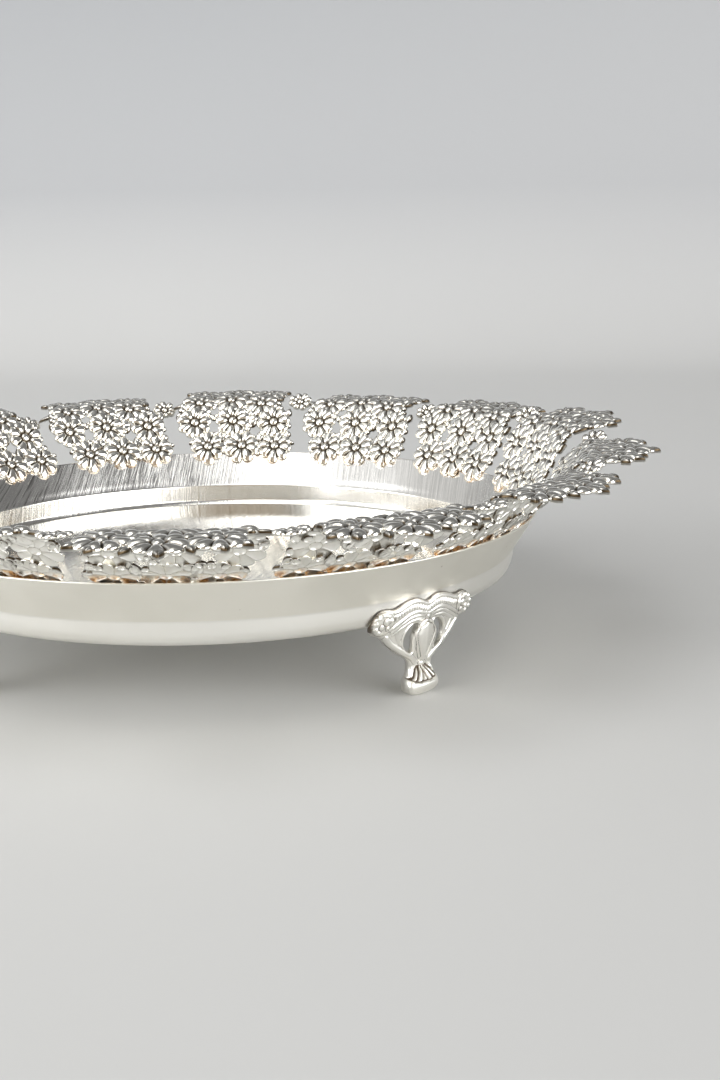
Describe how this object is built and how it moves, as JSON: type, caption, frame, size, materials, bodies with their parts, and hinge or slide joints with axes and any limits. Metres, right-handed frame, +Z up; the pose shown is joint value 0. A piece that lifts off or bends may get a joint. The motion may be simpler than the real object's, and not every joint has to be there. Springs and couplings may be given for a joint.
{
  "type": "round footed gallery tray",
  "caption": "Round silver-plated tray on cast scroll feet, with a flat polished floor, a low wall and a flared openwork rim of flower panels.",
  "frame": {"origin": "on the dish's axis, in the plane that the feet stand on", "axes": "+Z up, out of the dish; +X to the picture's right; +Y away from the picture's camera"},
  "size_m": [0.3487, 0.3585, 0.0833],
  "materials": {
    "satin_silver": "satin silver plate, brushed across the wall inside",
    "polished_silver": "mirror polished silver plate",
    "openwork_silver": "bright cast silver plate with darker recesses",
    "cast_silver": "bright cast silver plate"
  },
  "bodies": {
    "root": {"tray_body": "satin_silver", "floor_plate": "polished_silver", "rim_panel_01": "openwork_silver", "rim_panel_02": "openwork_silver", "rim_panel_03": "openwork_silver", "rim_panel_04": "openwork_silver", "rim_panel_05": "openwork_silver", "rim_panel_06": "openwork_silver", "rim_panel_07": "openwork_silver", "rim_panel_08": "openwork_silver", "rim_panel_09": "openwork_silver", "rim_panel_10": "openwork_silver", "rim_panel_11": "openwork_silver", "rim_panel_12": "openwork_silver", "rim_panel_13": "openwork_silver", "rim_panel_14": "openwork_silver", "foot_1": "cast_silver", "foot_2": "cast_silver", "foot_3": "cast_silver", "foot_4": "cast_silver"}
  },
  "joints": []
}
